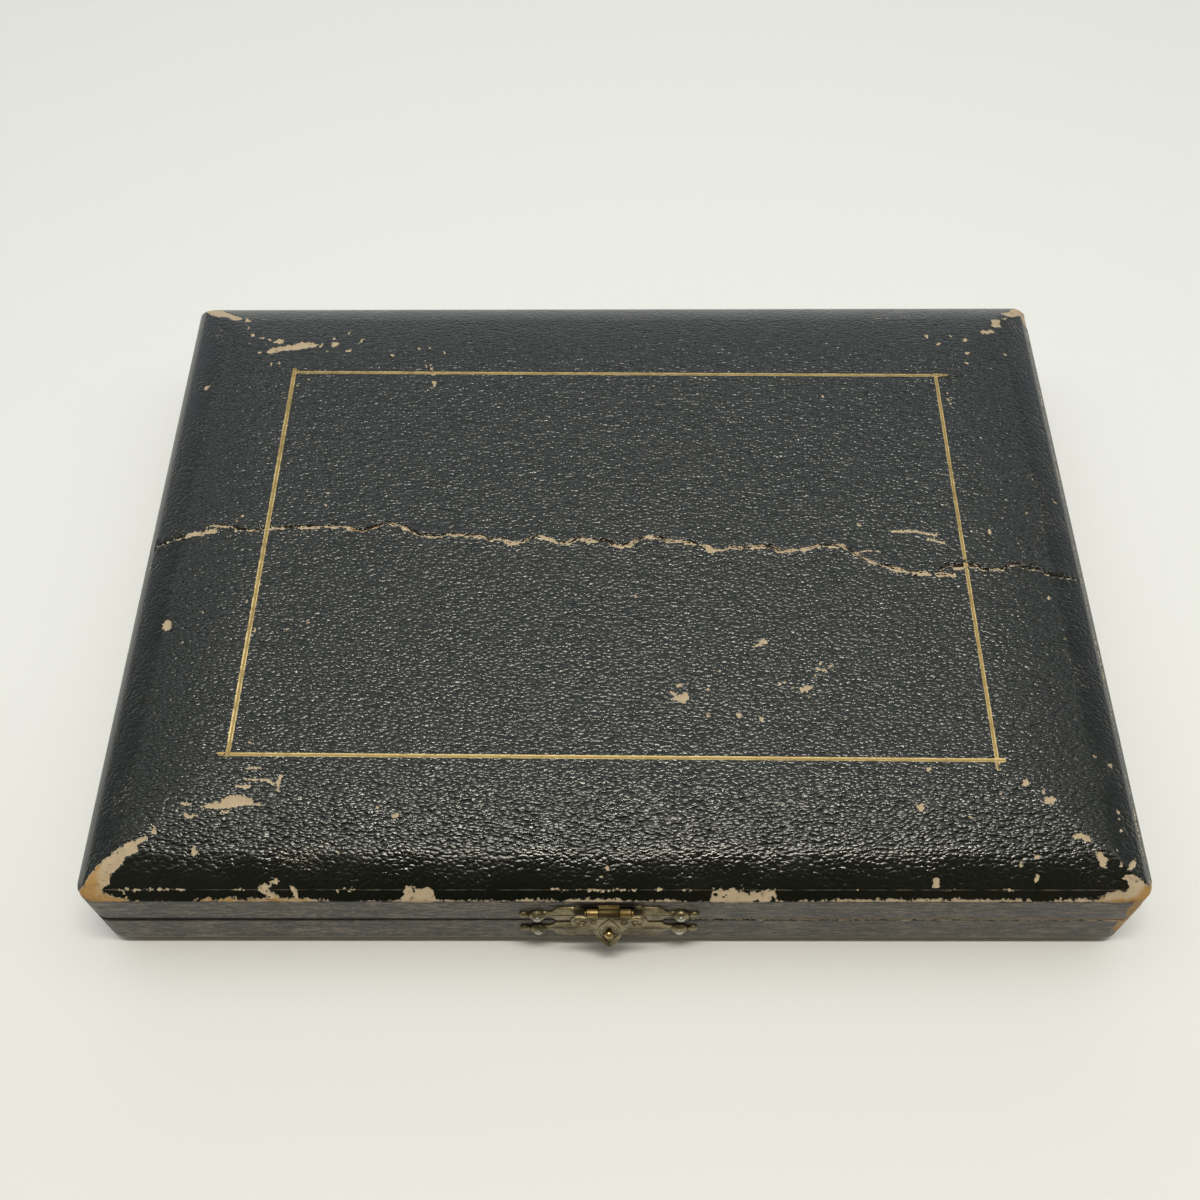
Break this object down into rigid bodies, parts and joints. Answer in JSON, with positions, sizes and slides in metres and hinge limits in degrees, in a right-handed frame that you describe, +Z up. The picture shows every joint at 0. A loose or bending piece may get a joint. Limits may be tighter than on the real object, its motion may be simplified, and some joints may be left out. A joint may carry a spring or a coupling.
{
  "type": "silverware chest",
  "caption": "Shallow leatherette-covered case with a pillow-top hinged lid, brass hasp clasp, satin lid pad and velvet racks that hold table cutlery.",
  "frame": {"origin": "middle of the case's footprint, on the face that it rests on", "axes": "+X along the case's width to the right seen from the front, +Y from the clasp towards the hinges, +Z up"},
  "size_m": [0.29, 0.2245, 0.0425],
  "materials": {
    "leatherette": "black pebble grain, semi-gloss, worn to tan at the corners",
    "wood": "bare softwood",
    "velvet": "short pile",
    "satin": "aged ivory satin",
    "brass": "aged and stamped",
    "gilt": "rubbed gold tooling",
    "lining_paper": "matt brown paper"
  },
  "bodies": {
    "base": {"base_board": "wood", "base_front_rail": "wood", "base_back_rail": "wood", "base_left_rail": "wood", "base_right_rail": "wood", "base_cover": "leatherette", "base_paper": "lining_paper", "tray_floor": "velvet", "base_front_liner": "velvet", "base_back_liner": "velvet", "base_left_liner": "velvet", "base_right_liner": "velvet", "handle_rack": "velvet", "blade_rack": "velvet", "catch_plate": "brass", "catch_stud": "brass", "catch_plate_nails": "brass", "left_hinge_base_leaf": "brass", "right_hinge_base_leaf": "brass", "left_hinge_pin": "brass", "right_hinge_pin": "brass", "base_hinge_screws": "brass"},
    "lid": {"lid_board": "wood", "lid_front_rail": "wood", "lid_back_rail": "wood", "lid_left_rail": "wood", "lid_right_rail": "wood", "lid_cover": "leatherette", "gilt_line": "gilt", "lid_front_liner": "satin", "lid_back_liner": "satin", "lid_left_liner": "satin", "lid_right_liner": "satin", "lid_pad": "satin", "lid_plate": "brass", "lid_plate_nails": "brass", "hasp_pin": "brass", "left_hinge_lid_leaf": "brass", "right_hinge_lid_leaf": "brass", "lid_hinge_screws": "brass"},
    "hasp": {"hasp": "brass"}
  },
  "joints": [
    {"name": "lid_hinge", "type": "hinge", "parent": "base", "child": "lid", "pos_m": [0, 0.1078, 0.01865], "axis": [-1, 0, 0], "range_deg": [0, 100]},
    {"name": "hasp_swing", "type": "hinge", "parent": "lid", "child": "hasp", "pos_m": [-0.0013, -0.1108, 0.0287], "axis": [-1, 0, 0], "range_deg": [0, 120]}
  ]
}
